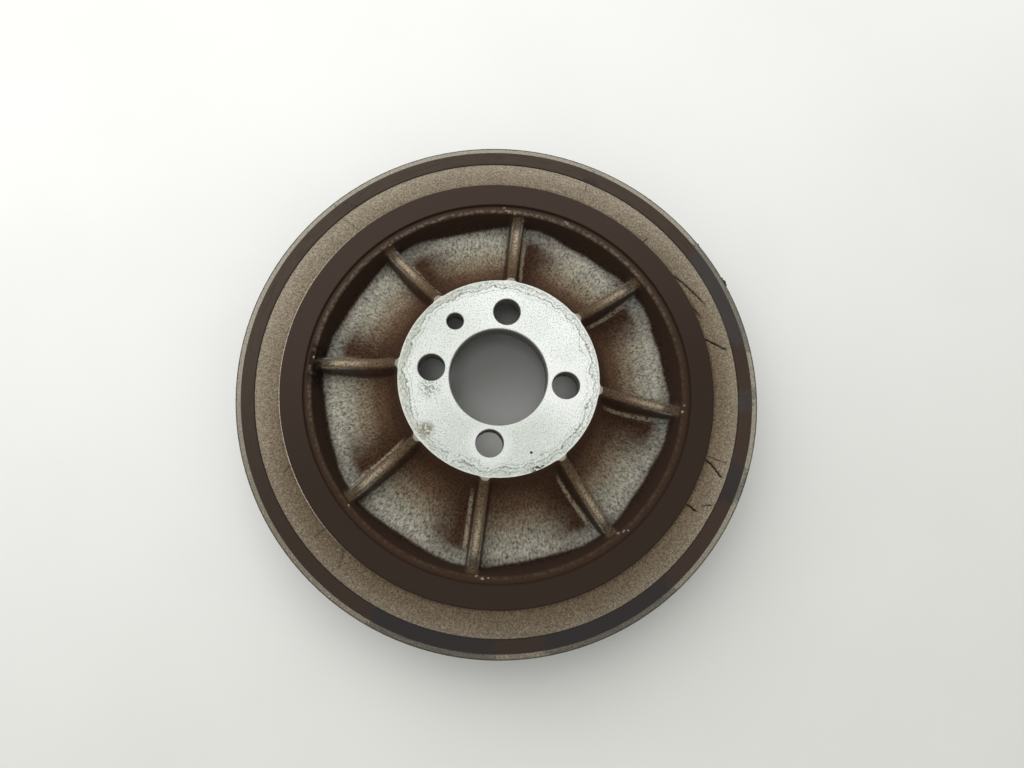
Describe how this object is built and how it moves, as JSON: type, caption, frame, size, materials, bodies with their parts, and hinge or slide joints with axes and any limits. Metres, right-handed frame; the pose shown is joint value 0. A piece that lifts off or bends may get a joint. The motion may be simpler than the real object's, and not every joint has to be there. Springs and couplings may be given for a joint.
{
  "type": "harmonic balancer",
  "caption": "Crankshaft harmonic balancer: ribbed cast hub with a piloted bolt flange, bonded to a belt-grooved inertia ring by a rubber ring.",
  "frame": {"origin": "on the crankshaft axis, in the plane of the inertia ring's front face, which it lies on", "axes": "+Z along the crankshaft axis towards the engine; +X through a bolt hole; the dowel hole is at 135 degrees from +X towards +Y"},
  "size_m": [0.1808, 0.1808, 0.0414],
  "materials": {
    "cast_hub": "cast and machined, oil-stained",
    "rubber": "aged, cracked, dusty",
    "ring_iron": "machined, dark oil film"
  },
  "bodies": {
    "root": {"hub": "cast_hub", "rubber_ring": "rubber", "inertia_ring": "ring_iron"}
  },
  "joints": []
}
